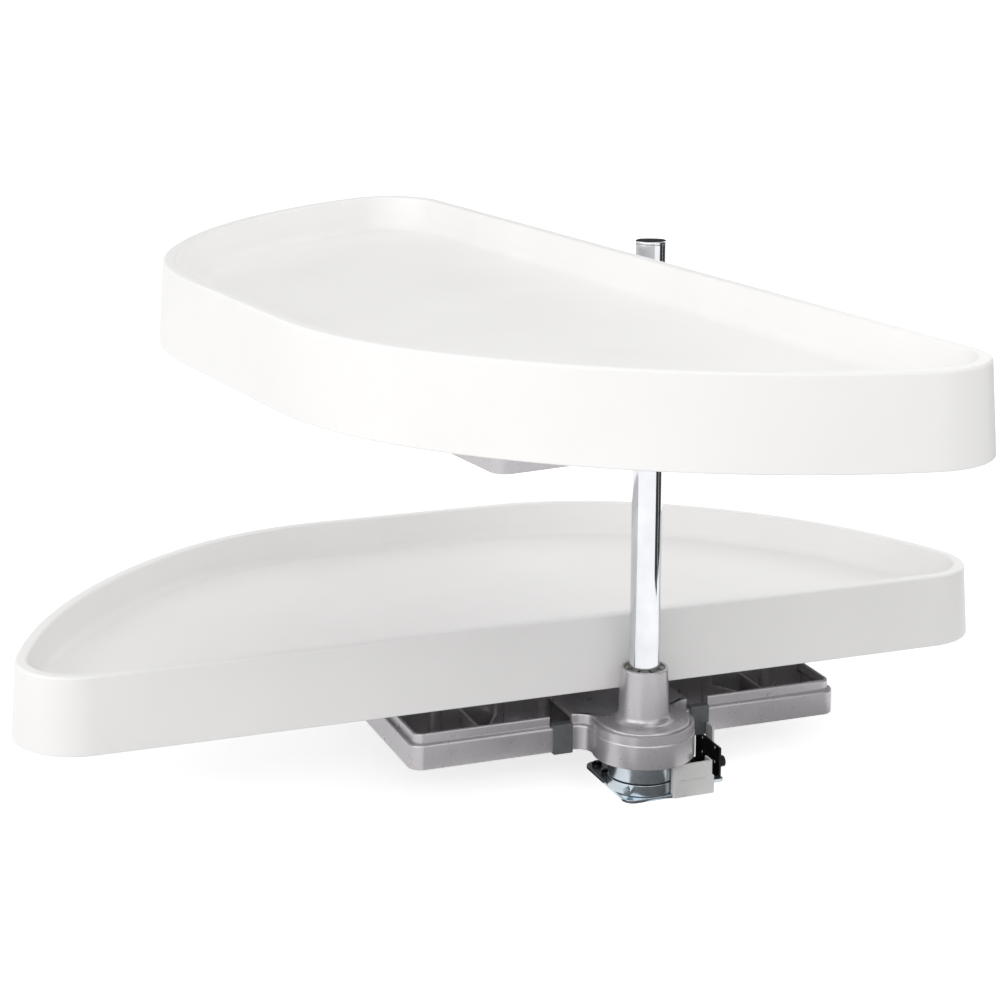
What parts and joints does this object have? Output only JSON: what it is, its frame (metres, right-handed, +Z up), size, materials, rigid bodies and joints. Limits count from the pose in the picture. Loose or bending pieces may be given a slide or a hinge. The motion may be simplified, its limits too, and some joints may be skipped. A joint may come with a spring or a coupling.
{
  "type": "corner carousel cabinet",
  "caption": "Pivot-and-slide corner carousel: D-shaped trays with raised rims on cast carriages that turn on a chromed post and slide sideways.",
  "frame": {"origin": "on the post's axis, at the underside of the base plate", "axes": "+Z up the post, +X along the lower tray's straight edge, +Y from the post towards the lower tray's curved side"},
  "size_m": [0.867, 0.8874, 0.4692],
  "materials": {
    "white_polymer": "white moulded polymer, satin",
    "cast_paint": "silver-grey die casting, satin",
    "chrome": "bright chrome plate",
    "zinc": "bluish zinc plate",
    "bracket_paint": "pale grey, satin",
    "black_steel": "black, semi-gloss",
    "bumper_plastic": "dark grey moulded plastic",
    "bush_plastic": "grey bearing plastic",
    "rubber": "black rubber",
    "track_steel": "rolled steel, zinc plated",
    "runner_alloy": "extruded, mill finish",
    "glide_plastic": "off-white slippery plastic"
  },
  "bodies": {
    "base": {"base_plate": "zinc", "base_screw_1": "black_steel", "base_screw_2": "black_steel", "base_screw_3": "black_steel", "base_screw_4": "black_steel", "post_socket": "zinc", "socket_set_screw": "zinc", "socket_gasket": "rubber", "bearing_cup": "zinc", "center_post": "chrome", "post_cap": "chrome", "front_bracket": "bracket_paint", "front_bracket_rivet_1": "zinc", "front_bracket_rivet_2": "zinc", "stile_plate": "black_steel", "stile_plate_screw_1": "black_steel", "stile_plate_screw_2": "black_steel", "stile_plate_bolt": "black_steel", "stop_plate": "bracket_paint", "stop_plate_rivet_1": "zinc", "stop_plate_rivet_2": "zinc", "lower_thrust_washer": "bush_plastic", "upper_collar": "zinc", "collar_set_screw": "black_steel", "upper_thrust_washer": "bush_plastic"},
    "lower_level": {"lower_carriage": "cast_paint", "lower_top_bush": "bush_plastic", "lower_bottom_bush": "bush_plastic", "lower_left_bumper": "bumper_plastic", "lower_right_bumper": "bumper_plastic", "lower_track_screw_1": "zinc", "lower_track_screw_2": "zinc", "lower_track_screw_3": "zinc", "lower_track_screw_4": "zinc", "lower_front_track": "track_steel", "lower_rear_track": "track_steel"},
    "lower_shelf": {"lower_tray": "white_polymer", "lower_front_runner": "runner_alloy", "lower_rear_runner": "runner_alloy", "lower_front_glide": "glide_plastic", "lower_rear_glide": "glide_plastic"},
    "upper_level": {"upper_carriage": "cast_paint", "upper_top_bush": "bush_plastic", "upper_bottom_bush": "bush_plastic", "upper_left_bumper": "bumper_plastic", "upper_right_bumper": "bumper_plastic", "upper_track_screw_1": "zinc", "upper_track_screw_2": "zinc", "upper_track_screw_3": "zinc", "upper_track_screw_4": "zinc", "upper_front_track": "track_steel", "upper_rear_track": "track_steel"},
    "upper_shelf": {"upper_tray": "white_polymer", "upper_front_runner": "runner_alloy", "upper_rear_runner": "runner_alloy", "upper_front_glide": "glide_plastic", "upper_rear_glide": "glide_plastic"}
  },
  "joints": [
    {"name": "lower_pivot", "type": "hinge", "parent": "base", "child": "lower_level", "pos_m": [0, 0, 0.05], "axis": [0, 0, 1], "range_deg": [0, 204]},
    {"name": "lower_slide", "type": "slide", "parent": "lower_level", "child": "lower_shelf", "axis": [1, 0, 0], "range_m": [-0.0391, 0.2009]},
    {"name": "upper_pivot", "type": "hinge", "parent": "base", "child": "upper_level", "pos_m": [0, 0, 0.367], "axis": [0, 0, 1], "continuous": true},
    {"name": "upper_slide", "type": "slide", "parent": "upper_level", "child": "upper_shelf", "axis": [-0.1357, 0.9907, 0], "range_m": [-0.0651, 0.1749]}
  ]
}
